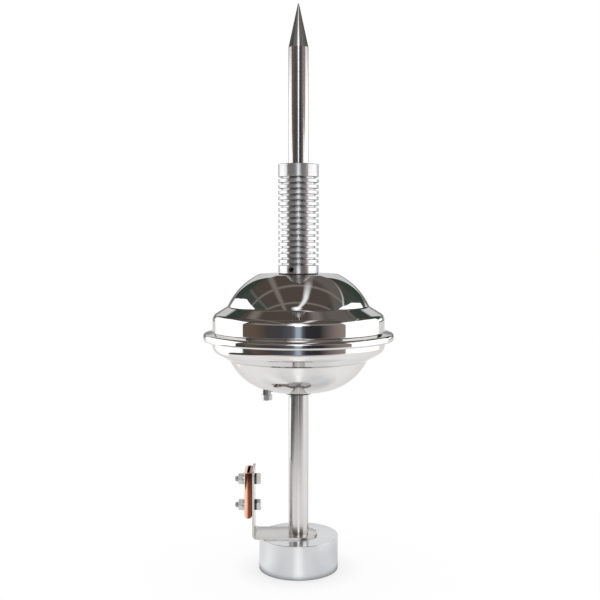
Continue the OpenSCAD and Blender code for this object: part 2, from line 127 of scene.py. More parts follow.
def sheet_corners(line: Line, thick: float, end_r: float) -> Line:
    """Closes a line of corners into the section of a sheet that lies to the line's right.

    Each corner moves along the sum of the two neighbouring right-hand normals n and m by thick / (1 + n.m), which
    keeps the second side parallel. Arcs on right turns lose the thickness and arcs on left turns gain it.

    Args:
        line: corners and arc radii of the sheet's first side.
        thick: sheet thickness.
        end_r: radius on the four end corners.

    Returns:
        Corners and radii of the whole section.
    """
    p = np.asarray(line[0], float)
    d = np.diff(p, axis=0)
    d /= np.linalg.norm(d, axis=1)[:, None]
    n = np.stack([d[:, 1], -d[:, 0]], axis=1)
    before, after = np.concatenate([n[:1], n]), np.concatenate([n, n[-1:]])
    moved = p + thick * (before + after) / (1 + np.sum(before * after, axis=1))[:, None]
    turns = np.zeros(len(p))
    turns[1:-1] = np.sign(d[:-1, 0] * d[1:, 1] - d[:-1, 1] * d[1:, 0])
    first = np.asarray(line[1], float)
    second = first + thick * turns
    first[[0, -1]] = second[[0, -1]] = end_r
    section = np.concatenate([p[::-1], moved])
    return [tuple(row) for row in section], list(np.concatenate([first[::-1], second]))


@dataclass
class Patch:
    """Piece of surface before it becomes a mesh.

    Attributes:
        points: vertices in metres, one row each.
        faces: index arrays, one row a face, one array for each number of corners.
        uv: texture places of the face corners, one array for each array of faces.
        normals: outward normals of the vertices, where they are known exactly.
    """

    points: Array
    faces: List[Array]
    uv: List[Array]
    normals: Optional[Array] = None

    def placed(self, axis: Sequence[float], side: Sequence[float], at: Sequence[float]) -> "Patch":
        """Turns the patch so that its z axis lies along axis and its x axis along side, then moves it.

        Args:
            axis: unit vector for the patch's own z axis.
            side: unit vector for its own x axis, square to axis.
            at: new place of its origin, in millimetres.

        Returns:
            The moved patch.
        """
        w, u = np.asarray(axis, float), np.asarray(side, float)
        turn = np.stack([u, np.cross(w, u), w])
        normals = None if self.normals is None else self.normals @ turn
        return Patch(self.points @ turn + np.asarray(at, float) * MM, self.faces, self.uv, normals)


def joined(patches: Sequence[Patch]) -> Patch:
    """Puts patches into one, counting each one's vertices on from the last."""
    starts = np.cumsum([0] + [len(p.points) for p in patches[:-1]])
    faces = [f + start for p, start in zip(patches, starts) for f in p.faces]
    exact = all(p.normals is not None for p in patches)
    return Patch(np.concatenate([p.points for p in patches]), faces, [u for p in patches for u in p.uv],
                 np.concatenate([p.normals for p in patches]) if exact else None)


def to_object(name: str, patch: Patch) -> bpy.types.Object:
    """Makes an object at the origin from a patch; where no exact normals are known, the crease angle keeps edges sharp.

    Args:
        name: the piece's name.
        patch: its surface.

    Returns:
        The object, linked to the scene.
    """
    data = bpy.data.meshes.new(name)
    loops = np.concatenate([f.ravel() for f in patch.faces]).astype(np.int32)
    sizes = np.concatenate([np.full(len(f), f.shape[1]) for f in patch.faces]).astype(np.int32)
    data.vertices.add(len(patch.points))
    data.vertices.foreach_set("co", np.ascontiguousarray(patch.points, dtype=np.float32).ravel())
    data.loops.add(len(loops))
    data.loops.foreach_set("vertex_index", loops)
    data.polygons.add(len(sizes))
    data.polygons.foreach_set("loop_start", np.concatenate([[0], np.cumsum(sizes)[:-1]]).astype(np.int32))
    data.polygons.foreach_set("loop_total", sizes)
    data.update(calc_edges=True)
    layer = data.uv_layers.new(name="turned")
    layer.data.foreach_set("uv", np.concatenate([u.reshape(-1, 2) for u in patch.uv]).astype(np.float32).ravel())
    data.validate()
    data.polygons.foreach_set("use_smooth", np.ones(len(data.polygons), dtype=bool))
    if patch.normals is not None:
        data.normals_split_custom_set_from_vertices(patch.normals.tolist())
    else:
        data.set_sharp_from_angle(angle=CREASE)
    data.update()
    piece = bpy.data.objects.new(name, data)
    bpy.context.scene.collection.objects.link(piece)
    return piece


def grid_faces(rows: int, columns: int, looped: bool) -> Tuple[Array, Array]:
    """Quads and texture places of a grid of vertices counted row by row, its last column joined to the first.

    Args:
        rows: number of rows.
        columns: number of columns.
        looped: whether the last row joins the first too.

    Returns:
        Quads, one row each, and the texture places of their corners, u along a row and v from row to row.
    """
    i, j = np.arange(rows if looped else rows - 1), np.arange(columns)
    index = np.arange(rows * columns).reshape(rows, columns)
    low, high, k = index[i], index[(i + 1) % rows], (j + 1) % columns
    quads = np.stack([low, low[:, k], high[:, k], high], axis=2).reshape(-1, 4)
    corners = [np.stack(np.broadcast_arrays((j + du) / columns, ((i + dv) / ROWS_PER_V)[:, None]), axis=2)
               for du, dv in ((0, 0), (1, 0), (1, 1), (0, 1))]
    return quads, np.stack(corners, axis=2).reshape(-1, 2)


def turned(outline: Outline, segments: int, radius: Optional[Array] = None) -> Patch:
    """Turns an outline about the z axis.

    A point at radius r and height z goes to (r cos t, r sin t, z) for each of the equal angles t.

    Args:
        outline: the section in millimetres.
        segments: number of angles.
        radius: radius at each outline point and angle, for threads and hexagons, in place of the outline's own.

    Returns:
        The turned surface.
    """
    t = np.arange(segments) * 2 * math.pi / segments
    r = radius if radius is not None else np.repeat(outline.points[:, :1], segments, axis=1)
    z = np.broadcast_to(outline.points[:, 1:], r.shape)
    grid = np.stack([r * np.cos(t), r * np.sin(t), z], axis=2) * MM
    face = np.stack([outline.normals[:, :1] * np.cos(t), outline.normals[:, :1] * np.sin(t),
                     np.broadcast_to(outline.normals[:, 1:], r.shape)], axis=2)
    if outline.edge is Edge.LOOP:
        quads, uv = grid_faces(len(grid), segments, True)
        points, normals, faces, places = grid.reshape(-1, 3), face.reshape(-1, 3), [quads], [uv]
    else:
        rows = len(grid) - 2
        quads, uv = grid_faces(rows, segments, False)
        points = np.concatenate([grid[1:-1].reshape(-1, 3), grid[[0, -1], 0]])
        normals = np.concatenate([face[1:-1].reshape(-1, 3), face[[0, -1], 0]])
        j = np.arange(segments)
        k = (j + 1) % segments
        first, last, top = rows * segments, rows * segments + 1, (rows - 1) * segments
        fans = np.concatenate([np.stack([np.full(segments, first), k, j], axis=1),
                               np.stack([np.full(segments, last), top + j, top + k], axis=1)])
        fan = np.stack([np.stack([j, 0 * j], 1), np.stack([j + 1, 0 * j + 1], 1), np.stack([j, 0 * j + 1], 1)], axis=1)
        faces, places = [quads, fans], [uv, np.concatenate([fan, fan]).reshape(-1, 2) / segments]
    return Patch(points, faces, places, normals if radius is None else None)


def shaped(rows: Array, radius: Array, edge: Edge) -> Patch:
    """Turns rows of radius and height whose radius changes with the angle, as on threads and hexagons."""
    return turned(Outline(rows, np.zeros_like(rows), edge), radius.shape[1], radius)


def loft(rings: Array, closed: bool) -> Patch:
    """Joins a row of closed rings, each the section of a piece at one place of its path.

    The volume is a sixth of the sum, over a fan of triangles in each face, of the corners' triple products. Where it
    comes out negative, the faces look inwards and are turned round.

    Args:
        rings: points in millimetres, by ring, by point of the ring, by axis.
        closed: whether the last ring joins the first; otherwise the two ends are capped.

    Returns:
        The closed surface.
    """
    rows, columns = rings.shape[:2]
    points = rings.reshape(-1, 3) * MM
    quads, uv = grid_faces(rows, columns, closed)
    faces, places = [quads], [uv]
    if not closed:
        j = np.arange(columns)
        faces.append(np.stack([j[::-1], (rows - 1) * columns + j]))
        places.append(np.zeros((2 * columns, 2)))
    fans = [points[f] for f in faces]
    if sum(float(np.sum(np.cross(p[:, 1:-1], p[:, 2:]) * p[:, :1])) for p in fans) < 0:
        faces = [f[:, ::-1] for f in faces]
    return Patch(points, faces, places)


def rounded_section(half_width: Array, half_height: Array, soft: Array) -> Tuple[Array, Array]:
    """Points round a rectangle with rounded corners, four on each corner.

    Args:
        half_width: half the width, one row a rectangle.
        half_height: half the height, one row a rectangle.
        soft: radius of the corners, one row a rectangle.

    Returns:
        Places across and up, one row a rectangle.
    """
    corner = np.repeat(np.array([[1, 1], [-1, 1], [-1, -1], [1, -1]], float), 4, axis=0)
    angle = np.radians(np.arange(4)[:, None] * 90 + np.linspace(0, 90, 4)[None]).ravel()[None]
    return (corner[None, :, 0] * (half_width - soft) + soft * np.cos(angle),
            corner[None, :, 1] * (half_height - soft) + soft * np.sin(angle))


def hexagon(across: float) -> Array:
    """Distance from the axis to a hexagon's side at each angle: half the width across flats / cos(angle off a flat)."""
    t = np.arange(HEX_SEGMENTS) * 2 * math.pi / HEX_SEGMENTS
    return across / 2 / np.cos(t % (math.pi / 3) - math.pi / 6)


def thread(heights: Array, segments: int, pitch: float, depth: float) -> Array:
    """Change of radius that cuts a helix: depth times a triangle wave of height / pitch minus the share of a turn."""
    share = np.arange(segments) / segments
    return -2 * depth * np.abs((heights[:, None] / pitch - share[None]) % 1.0 - 0.5)


def chamfer_rows(across: float, level: float, rising: bool) -> Array:
    """Limits of radius and heights of a hexagon's chamfer, from a circle inside the flats to past the corners.

    Args:
        across: width across flats.
        level: height of the hexagon's lower face when rising, of its upper face when not.
        rising: whether the chamfer opens upwards.

    Returns:
        Radius and height, one row each, in order of height.
    """
    r = np.linspace(0.475 * across, 0.585 * across, 9)
    rise = (r - r[0]) * math.tan(CHAMFER)
    return np.stack([r, level + rise], axis=1) if rising else np.stack([r, level - rise], axis=1)[::-1]


def bolt(across: float, head: float, radius: float, length: float, plain: float, pitch: float = 1.0) -> Patch:
    """Hexagon-headed bolt along z, the head's outer face at z = 0, with a helical thread down to its end.

    In the head the radius is the smaller of the chamfer's and the hexagon's; along the thread the helix changes it,
    and the end tapers.

    Args:
        across: width across flats.
        head: height of the head.
        radius: radius over the thread.
        length: length under the head.
        plain: length of the plain shank.
        pitch: pitch of the thread.

    Returns:
        The closed surface.
    """
    end, core, fillet, taper_length = head + length, 0.7 * radius, 0.3, 0.9
    top = chamfer_rows(across, 0.0, True)
    under = np.array([[0.6 * across, head - 0.05], [0.56 * across, head], [radius + fillet, head],
                      [radius, head + fillet], [radius, head + plain]])
    z = np.arange(head + plain + 0.1, end, pitch / 10)
    cut = np.stack([np.full(len(z), radius), z], axis=1)
    rows = np.concatenate([[[0.0, 0.0]], top, under, cut, [[core, end]], [[0.0, end]]])
    full = np.repeat(rows[:, :1], HEX_SEGMENTS, axis=1)
    count = 1 + len(top) + 2
    full[:count] = np.minimum(full[:count], hexagon(across)[None])
    start = 1 + len(top) + len(under)
    ease = np.clip((z - head - plain) / pitch, 0.0, 1.0)[:, None]
    taper = np.clip((z - end) / taper_length + 1.0, 0.0, 1.0)[:, None]
    helix = ease * thread(z, HEX_SEGMENTS, pitch, 0.6 * pitch) - (radius - core) * taper
    full[start:start + len(z)] = np.maximum(full[start:start + len(z)] + helix, core)
    return shaped(rows, full, Edge.AXIS)


def nut(across: float, bore: float, height: float) -> Patch:
    """Hexagon nut along z from z = 0, chamfered on both faces.

    Args:
        across: width across flats.
        bore: radius of its hole.
        height: its height.

    Returns:
        The closed surface.
    """
    lead = 0.4
    low, high = chamfer_rows(across, 0.0, True), chamfer_rows(across, height, False)
    rows = np.concatenate([[[bore + lead, 0.0]], low, high,
                           [[bore + lead, height], [bore, height - lead], [bore, lead]]])
    full = np.repeat(rows[:, :1], HEX_SEGMENTS, axis=1)
    outer = slice(1, 1 + len(low) + len(high))
    full[outer] = np.minimum(full[outer], hexagon(across)[None])
    return shaped(rows, full, Edge.LOOP)


def washer(inner: float, outer: float, thick: float, soft: float) -> Patch:
    """Flat ring along z from z = 0 with rounded edges."""
    corners = [(inner, 0.0), (outer, 0.0), (outer, thick), (inner, thick)]
    return turned(rounded_outline(corners, [soft * 0.5, soft, soft, soft * 0.5], Edge.LOOP, 30.0), 96)


def split_washer(inner: float, outer: float, thick: float) -> Patch:
    """Spring washer along z from z = 0: a rounded square section on one turn of a flat helix, cut open.

    The section's middle goes round at the mean radius while it climbs by a tenth of the thickness.

    Args:
        inner: radius of its hole.
        outer: outer radius.
        thick: its thickness.

    Returns:
        The closed surface.
    """
    a = np.radians(np.linspace(5.0, 355.0, 72))[:, None]
    rise, soft = 0.1 * thick, 0.25
    out, up = rounded_section((outer - inner) / 2, (thick - rise) / 2, soft)
    r = (inner + outer) / 2 + out
    z = thick / 2 + up + rise * (a / (2 * math.pi) - 0.5)
    return loft(np.stack([r * np.cos(a), r * np.sin(a), z], axis=2), False)


class Graph:
    """Small helper that lays out shader nodes."""

    def __init__(self, tree: bpy.types.NodeTree) -> None:
        """Clears a node tree and keeps it."""
        self.tree = tree
        self.tree.nodes.clear()

    @classmethod
    def material(cls, name: str) -> Tuple[bpy.types.Material, "Graph"]:
        """Makes a material with an empty node tree, and the helper for it."""
        made = bpy.data.materials.new(name)
        made.use_nodes = True
        return made, cls(made.node_tree)

    def node(self, kind: str, inputs: Optional[Dict[object, object]] = None, **values: object) -> bpy.types.Node:
        """Adds a node.

        Args:
            kind: Blender's node type.
            inputs: socket name or number to a value, or to the socket that feeds it.
            values: plain settings of the node.

        Returns:
            The node.
        """
        made = self.tree.nodes.new(kind)
        for key, value in values.items():
            setattr(made, key, value)
        for key, value in (inputs or {}).items():
            socket = made.inputs[key]
            if isinstance(value, Socket):
                self.tree.links.new(value, socket)
            else:
                socket.default_value = value
        return made

    def math(self, operation: str, *terms: object) -> Socket:
        """Adds a Math node and returns its result."""
        return self.node("ShaderNodeMath", dict(enumerate(terms)), operation=operation).outputs[0]

    def times(self, first: object, second: object) -> Socket:
        """Product of two values."""
        return self.math("MULTIPLY", first, second)

    def reach(self, x: object, y: object) -> Socket:
        """Length of a flat vector, the root of the sum of the squares."""
        return self.math("SQRT", self.math("ADD", self.times(x, x), self.times(y, y)))

    @staticmethod
    def rgba(colour: object) -> object:
        """Adds full opacity to three plain numbers and leaves a socket as it is."""
        return colour if isinstance(colour, Socket) else (*colour, 1.0)

    def mix(self, share: object, first: object, second: object) -> Socket:
        """Adds a colour mix and returns its result; a plain colour is given as three numbers."""
        ends = {0: share, 6: self.rgba(first), 7: self.rgba(second)}
        return self.node("ShaderNodeMix", ends, data_type="RGBA").outputs[2]

    def glow(self, colour: object) -> Socket:
        """Adds an emission of strength 1 and returns its shader."""
        return self.node("ShaderNodeEmission", {"Color": self.rgba(colour), "Strength": 1.0}).outputs[0]

    def blend(self, share: object, first: object, second: object) -> Socket:
        """Adds a mix of two shaders and returns it."""
        return self.node("ShaderNodeMixShader", {0: share, 1: first, 2: second}).outputs[0]

    def noise(self, place: object, scale: float, detail: float) -> Socket:
        """Adds a noise texture and returns its grey value."""
        return self.node("ShaderNodeTexNoise", {"Vector": place, "Scale": scale, "Detail": detail}).outputs["Fac"]

    def ramp(self, value: object, stops: Table) -> Socket:
        """Adds a colour ramp with linear stops and returns its colour."""
        made = self.node("ShaderNodeValToRGB", {"Fac": value})
        table = made.color_ramp.elements
        for end in (0, -1):
            table[end].position, table[end].color = stops[end][0], self.rgba(stops[end][1])
        for place, colour in stops[1:-1]:
            table.new(place).color = self.rgba(colour)
        return made.outputs["Color"]

    def span(self, value: object, low: float, high: float, to_low: float = 0.0, to_high: float = 1.0) -> Socket:
        """Adds a clamped Map Range node and returns its result."""
        return self.node("ShaderNodeMapRange", {"Value": value, "From Min": low, "From Max": high, "To Min": to_low,
                                                "To Max": to_high}).outputs["Result"]

    def axes(self, place: object) -> Tuple[Socket, Socket, Socket]:
        """Splits a place into its three coordinates."""
        parts = self.node("ShaderNodeSeparateXYZ", {"Vector": place}).outputs
        return parts["X"], parts["Y"], parts["Z"]


@dataclass(frozen=True)
class Finish:
    """Metal, plastic or rubber surface with fine procedural detail.

    Attributes:
        name: the material's name.
        colour: the surface's colour.
        deep: the colour in the darker parts of its variation.
        rough: lowest and highest roughness.
        metal: 1 for metal and 0 for other stuff.
        grain: noise scales along x, y and z of the fine marks.
        depth: depth of the fine marks in microns.
        stretch: anisotropy, with the marks running round the axis.
        mottle: noise scale of the slow variation.
        groove: two radii in metres between which painted shade darkens the groove walls, none when equal.
        shade_span_x: two places along x in metres over which the surface turns to painted shade, none when equal.
        shade_colour: colour of the painted shade.
        graze: tint of a metal's reflection near grazing.
    """

    name: str
    colour: Colour
    deep: Colour
    rough: Pair
    metal: float = 1.0
    grain: Tuple[float, float, float] = (50.0, 50.0, 50.0)
    depth: float = 6.0
    stretch: float = 0.0
    mottle: float = 200.0
    groove: Pair = (0.0, 0.0)
    shade_span_x: Pair = (0.0, 0.0)
    shade_colour: Colour = (0.5, 0.5, 0.5)
    graze: Colour = (1.0, 1.0, 1.0)

    def build(self) -> bpy.types.Material:
        """Makes the material once, or returns the one already made."""
        known = bpy.data.materials.get(self.name)
        if known:
            return known
        made, g = Graph.material(self.name)
        place = g.node("ShaderNodeTexCoord").outputs["Object"]
        slow = g.noise(place, self.mottle, 5.0)
        marks = g.node("ShaderNodeMapping", {"Vector": place, "Scale": self.grain}).outputs["Vector"]
        fine = g.noise(marks, 40.0, 6.0)
        tint = g.ramp(slow, [(0.3, self.deep), (0.7, self.colour)])
        low, high = self.groove
        if low != high:
            x, y, _ = g.axes(place)
            out = g.reach(x, y)
            # Painted shade: the groove walls between the two radii darken to the shade colour.
            groove_wall_shade = g.times(g.span(out, low - 0.1 * MM, low), g.span(out, high - 0.4 * MM, high, 1.0, 0.0))
            tint = g.mix(groove_wall_shade, tint, self.shade_colour)
        # Painted shade: the surface darkens to the shade colour towards +x.
        if self.shade_span_x[0] != self.shade_span_x[1]:
            tint = g.mix(g.span(g.axes(place)[0], *self.shade_span_x), tint, self.shade_colour)
        both = g.math("ADD", g.times(slow, 0.55), g.times(fine, 0.45))
        bump = g.node("ShaderNodeBump", {"Height": fine, "Strength": 1.0, "Distance": self.depth * MICRON})
        sockets = {"Base Color": tint, "Metallic": self.metal,
                   "Roughness": g.span(both, 0.3, 0.7, *self.rough), "Normal": bump.outputs["Normal"]}
        if self.metal:
            sockets["Specular Tint"] = g.rgba(self.graze)
        if self.stretch:
            sockets["Anisotropic"] = self.stretch
            sockets["Anisotropic Rotation"] = 0.25
            sockets["Tangent"] = g.node("ShaderNodeTangent", direction_type="UV_MAP", uv_map="turned").outputs[0]
        shader = g.node("ShaderNodeBsdfPrincipled", sockets)
        g.node("ShaderNodeOutputMaterial", {"Surface": shader.outputs["BSDF"]})
        return made


POLISHED = Finish("polished_stainless_bar", (0.76, 0.745, 0.735), (0.72, 0.705, 0.695), (0.12, 0.17),
                  grain=(4.0, 4.0, 60.0), depth=1.0, stretch=0.92, mottle=25.0, graze=(0.64, 0.645, 0.645))
SPUN = Finish("polished_spun_stainless", (0.76, 0.75, 0.74), (0.73, 0.72, 0.71), (0.02, 0.05),
              grain=(5.0, 5.0, 50.0), depth=1.2, mottle=20.0, graze=(0.76, 0.765, 0.76))
BOWL = Finish("satin_spun_stainless", (0.80, 0.785, 0.775), (0.77, 0.755, 0.745), (0.07, 0.11),
              grain=(5.0, 5.0, 50.0), depth=2.0, mottle=20.0, graze=(0.8, 0.8, 0.79))
TURNED = Finish("satin_turned_aluminium", (0.80, 0.81, 0.82), (0.75, 0.76, 0.77), (0.17, 0.26),
                grain=(2.0, 2.0, 160.0), depth=3.0, stretch=0.6, mottle=40.0)
# Painted shade darkens the walls of the grooves.
FINNED = Finish("satin_finned_aluminium", (0.92, 0.92, 0.93), (0.88, 0.88, 0.89), (0.31, 0.37),
                grain=(2.0, 2.0, 160.0), depth=1.5, stretch=0.9, mottle=40.0, groove=(0.0168, 0.0198),
                shade_colour=(0.14, 0.14, 0.145), graze=(0.45, 0.45, 0.45))
BRUSHED = Finish("brushed_stainless_sheet", (0.70, 0.68, 0.66), (0.65, 0.63, 0.61), (0.2, 0.27),
                 grain=(2.0, 30.0, 2.0), depth=0.8, mottle=30.0)
# Painted shade darkens the copper's side towards +x, which faces the bracket.
COPPER = Finish("bright_copper", (1.0, 0.67, 0.51), (0.9, 0.53, 0.38), (0.06, 0.12), grain=(14.0, 14.0, 0.5),
                depth=60.0, mottle=90.0, shade_span_x=(-0.0516, -0.0503), shade_colour=(0.3, 0.085, 0.042))
FASTENER = Finish("plain_stainless_fastener", (0.70, 0.69, 0.68), (0.58, 0.57, 0.56), (0.14, 0.28))
# Near-black steel; on the spring washers this darkness is painted shade between the bracket and the bolt heads.
SHADE_BLACK_STEEL = Finish("black_steel_painted_shade", (0.12, 0.12, 0.125), (0.07, 0.07, 0.075), (0.25, 0.4))
NYLON = Finish("black_nylon", (0.022, 0.022, 0.024), (0.014, 0.014, 0.015), (0.4, 0.55), metal=0.0, depth=10.0,
               mottle=120.0)
RUBBER = Finish("black_seal_rubber", (0.02, 0.02, 0.02), (0.012, 0.012, 0.012), (0.6, 0.8), metal=0.0, depth=20.0,
                mottle=120.0)
RESIN = Finish("potting_resin", (0.04, 0.04, 0.045), (0.025, 0.025, 0.03), (0.3, 0.5), metal=0.0,
               grain=(30.0, 30.0, 30.0), depth=20.0, mottle=40.0)
BRONZE = Finish("spring_bronze", (0.75, 0.52, 0.28), (0.65, 0.42, 0.2), (0.2, 0.32), grain=(10.0, 80.0, 10.0),
                mottle=80.0)


def settle(piece: bpy.types.Object, finish: Finish, node: str) -> None:
    """Dresses a new piece, lets it ride on the object and puts it in the place of a solid.

    Args:
        piece: the new piece.
        finish: its surface.
        node: name of the solid that it stands for.
    """
    piece.data.materials.clear()
    piece.data.materials.append(finish.build())
    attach(piece, "root")
    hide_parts(node)
    LOG.info("piece %s: %d vertices, finish %s", piece.name, len(piece.data.vertices), finish.name)


def dress(node: str, finish: Finish) -> None:
    """Gives a solid that stays visible its finish."""
    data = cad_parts[node].data
    data.materials.clear()
    data.materials.append(finish.build())
    LOG.info("solid %s: finish %s", node, finish.name)


def finished(piece: bpy.types.Object, tool: bpy.types.Object) -> bpy.types.Object:
    """Applies a piece's modifiers, smooths it by angle and removes the tool that they used.

    Args:
        piece: object with live modifiers.
        tool: object that only served those modifiers.

    Returns:
        The same object with a plain mesh.
    """
    graph = bpy.context.evaluated_depsgraph_get()
    done = bpy.data.meshes.new_from_object(piece.evaluated_get(graph), preserve_all_data_layers=True, depsgraph=graph)
    piece.modifiers.clear()
    old, piece.data = piece.data, done
    done.name = old.name + "_done"
    bpy.data.meshes.remove(old)
    done.set_sharp_from_angle(angle=CREASE)
    bpy.data.objects.remove(tool)
    return piece


@dataclass
class TipRod:
    """Polished bar with a conical point, and the spigot that screws into the sleeve. Sizes in millimetres."""

    radius: float = 10.0
    spigot: float = 6.0
    seat: float = 407.75
    cone: float = 521.75
    top: float = 564.85
    grip: float = 30.0
    nose: float = 0.6

    def build(self) -> None:
        """Turns the bar's outline; the point ends in a small round nose."""
        low = self.seat - self.grip
        corners = [(0, low), (self.spigot, low), (self.spigot, self.seat), (self.radius, self.seat),
                   (self.radius, self.cone), (self.nose * 0.9, self.top - self.nose * 0.35), (0, self.top)]
        outline = rounded_outline(corners, [0, 0.8, 0.2, 0.3, 0.35, 0.25, 0], Edge.AXIS)
        settle(to_object("tip_bar", turned(outline, 192)), POLISHED, "tip_rod")


@dataclass
class SupportRod:
    """Polished bar under the charge body with its foot, its upper spigot and a black collar. Sizes in millimetres."""

    radius: float = 10.0
    foot: float = 8.0
    spigot: float = 6.0
    levels: Tuple[float, float, float, float] = (17.5, 36.0, 180.6, 326.8)
    collar: float = 13.2
    collar_drop: float = 2.2
    flange: float = 1.0
    sleeve: float = 8.5
    sleeve_top: float = 2.1
    play: float = 0.1

    def build(self) -> None:
        """Turns the bar, with a small break on every edge, and the black collar between its head and the bowl."""
        low, seat, head, top = self.levels
        corners = [(0, low), (self.foot, low), (self.foot, seat), (self.radius, seat), (self.radius, head),
                   (self.spigot, head), (self.spigot, top), (0, top)]
        outline = rounded_outline(corners, [0, 0.8, 0.15, 0.4, 0.3, 0.2, 0.8, 0], Edge.AXIS)
        settle(to_object("support_bar", turned(outline, 192)), POLISHED, "support_rod")
        skirt, bore, film = self.radius + self.play / 2, self.spigot + self.play, head + 0.02
        ring = [(skirt, head - self.collar_drop), (self.collar, head - self.collar_drop),
                (self.collar, head + self.flange), (self.sleeve, head + self.flange),
                (self.sleeve, head + self.sleeve_top), (bore, head + self.sleeve_top), (bore, film), (skirt, film)]
        collar = turned(rounded_outline(ring, [0.2, 0.4, 0.2, 0.1, 0.2, 0.2, 0.01, 0.01], Edge.LOOP, 20.0), 96)
        settle(to_object("head_collar", collar), NYLON, "lower_insulator")


@dataclass
class ChargeBody:
    """Two spun shells joined by a rolled rim. Sizes in millimetres, heights and drops from the rim's underside.

    The lip and the steps are shares of the rim's radius, by which the outline comes in from the rim to the middle.
    """

    rim_r: float = 95.6
    thick: float = 1.2
    rim_z: float = 233.0
    bowl_z: float = 181.6
    dome_z: float = 299.2
    neck: float = 8.6
    play: float = 0.1
    lip: float = 0.0983
    dome_steps: Tuple[float, float, float, float] = (0.157, 0.1589, 0.0471, 0.1778)
    dome_heights: Tuple[float, float, float, float] = (33.8, 24.6, 9.1, 7.0)
    bowl_steps: Pair = (0.1757, 0.2)
    bowl_drops: Pair = (9.8, 19.4)

    def dome_line(self) -> Line:
        """Corners and radii of the dome's outer side, from the middle to the lip under the rim."""
        r, z = self.rim_r, self.rim_z
        shoulder, inset, out, flat = (r * step for step in self.dome_steps)
        foot_z, shoulder_z, wall_z, lip_z = (z + height for height in self.dome_heights)
        wall = r * (1 - self.lip)
        foot = wall - shoulder
        crown = foot - inset
        corners = [(self.neck, self.dome_z), (crown - flat, self.dome_z), (crown + out, self.dome_z - 10.8),
                   (foot, foot_z), (wall, shoulder_z), (wall, wall_z), (r, lip_z), (r, z), (wall + 2.3, z)]
        return corners, [0, 6, r * 0.7, 4.0, 7.5, 1.3, 3.6, 2.2, 0]

    def bowl_line(self) -> Line:
        """Corners and radii of the bowl's outer side, from the flange inside the rim to the middle."""
        r, z = self.rim_r, self.rim_z
        wall = r * (1 - self.lip) + 0.3
        foot = wall - r * self.bowl_steps[0]
        flange = z + self.thick + self.play
        corners = [(r - 4.2, flange), (wall, flange), (wall, z - self.bowl_drops[0]), (foot, z - self.bowl_drops[1]),
                   (foot - r * self.bowl_steps[1], self.bowl_z), (self.neck, self.bowl_z)]
        return corners, [0, 1.2, 9.0, 2.2, r * 0.5649, 0]

    def build(self) -> None:
        """Turns the section of each shell: its outer side, its inner side and two rounded edges."""
        for name, line, finish, node in (("dome_shell", self.dome_line(), SPUN, "upper_dome"),
                                         ("bowl_shell", self.bowl_line(), BOWL, "lower_bowl")):
            corners, radii = sheet_corners(line, self.thick, 0.35)
            shell = turned(rounded_outline(corners, radii, Edge.LOOP), 240)
            settle(to_object(name, shell), finish, node)


@dataclass
class FinnedSleeve:
    """Turned sleeve with grooves and a cross hole for its set screw. Sizes in millimetres."""

    low: float = 299.8
    radius: float = 20.0
    bore: float = 6.1
    grooves: int = 16
    pitch: float = 5.68
    width: float = 2.3
    depth: float = 3.3
    collar_low: float = 7.95
    collar_top: float = 12.5
    hole: float = 2.6
    hole_turn: float = 21.0
    drill_length: float = 30.0

    def outline(self) -> Outline:
        """Outline of bore, collars and grooves; every edge is broken by a small arc."""
        top = self.low + self.collar_low + (self.grooves - 1) * self.pitch + self.width + self.collar_top
        start = self.low + self.collar_low + self.pitch * np.arange(self.grooves)
        r = np.array([self.radius, self.radius - self.depth, self.radius - self.depth, self.radius])
        z = start[:, None] + np.array([0.0, 0.0, self.width, self.width])[None]
        steps = np.stack([np.broadcast_to(r, z.shape), z], axis=2).reshape(-1, 2)
        corners = [(self.bore, self.low), (self.radius, self.low), *map(tuple, steps), (self.radius, top),
                   (self.bore, top)]
        radii = [0.5, 0.4, *np.tile([0.3, 0.25, 0.25, 0.3], self.grooves), 0.6, 0.5]
        return rounded_outline(corners, list(radii), Edge.LOOP, 23.0)

    def build(self) -> None:
        """Turns the sleeve and bores the cross hole through its lower collar."""
        piece = to_object("sleeve_fins", turned(self.outline(), 160))
        turn = math.radians(270.0 - self.hole_turn)
        corners = [(0, 0), (self.hole, 0), (self.hole, self.drill_length), (0, self.drill_length)]
        bit = turned(rounded_outline(corners, [0, 0.1, 0.1, 0], Edge.AXIS, 45.0), 48)
        at = (0.0, 0.0, self.low + self.collar_low / 2)
        drill = to_object("sleeve_drill", bit.placed((math.cos(turn), math.sin(turn), 0.0), Z_UP, at))
        cut = piece.modifiers.new("cross_hole", "BOOLEAN")
        cut.operation, cut.object, cut.solver = "DIFFERENCE", drill, "EXACT"
        settle(finished(piece, drill), FINNED, "finned_sleeve")


